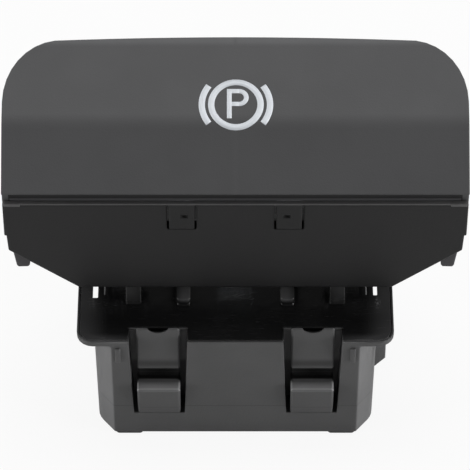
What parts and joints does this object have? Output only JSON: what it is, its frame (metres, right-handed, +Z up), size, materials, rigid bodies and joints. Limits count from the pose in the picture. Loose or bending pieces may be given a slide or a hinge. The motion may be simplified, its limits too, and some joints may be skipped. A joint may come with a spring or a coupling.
{
  "type": "electric parking brake switch",
  "caption": "Console switch for an electric parking brake: wide pull paddle with a brake symbol on a snap-in housing with connector.",
  "frame": {"origin": "middle of the housing's footprint, on the plane of its corner feet", "axes": "+X to the right along the paddle, +Y away from the paddle's front wall towards the far rim, +Z up"},
  "size_m": [0.064, 0.034, 0.0549],
  "materials": {
    "housing_plastic": "fine satin glass-filled plastic, dark grey",
    "frame_plastic": "glossy moulded black plastic",
    "cap_plastic": "fine-grained soft-touch dark grey",
    "carrier_plastic": "satin near-black plastic",
    "clear_plastic": "clear polycarbonate light guide",
    "carriage_plastic": "natural acetal, low friction",
    "board_laminate": "green solder mask on glass laminate",
    "header_plastic": "black insulating plastic",
    "lamp_plastic": "white lamp body",
    "chip_ceramic": "black chip body",
    "steel": "drawn steel",
    "bronze": "bronze strip",
    "tinned_brass": "plated brass pin"
  },
  "bodies": {
    "base": {"housing": "housing_plastic", "top_frame": "frame_plastic", "circuit_board": "board_laminate", "pin_header": "header_plastic", "contact_pin_1": "tinned_brass", "contact_pin_2": "tinned_brass", "contact_pin_3": "tinned_brass", "contact_pin_4": "tinned_brass", "contact_pin_5": "tinned_brass", "contact_pin_6": "tinned_brass", "led": "lamp_plastic", "resistor_left": "chip_ceramic", "resistor_right": "chip_ceramic", "pivot_pin_left": "steel", "pivot_pin_right": "steel", "return_spring_left": "steel", "return_spring_right": "steel"},
    "paddle": {"paddle_cap": "cap_plastic", "paddle_carrier": "carrier_plastic", "light_guide": "clear_plastic"},
    "carriage": {"contact_slider": "carriage_plastic", "wiper_left": "bronze", "wiper_right": "bronze"}
  },
  "joints": [
    {"name": "paddle_pull", "type": "hinge", "parent": "base", "child": "paddle", "pos_m": [0, -0.0042, 0.0252], "axis": [1, 0, 0], "range_deg": [-4, 8], "stiffness_Nm_per_rad": 1.5},
    {"name": "carriage_slide", "type": "slide", "parent": "base", "child": "carriage", "axis": [0, 1, 0], "range_m": [-0.00085, 0.0017]}
  ],
  "couplings": [
    {"joint": "carriage_slide", "follows": "paddle_pull", "m_per_rad": 0.0118}
  ]
}
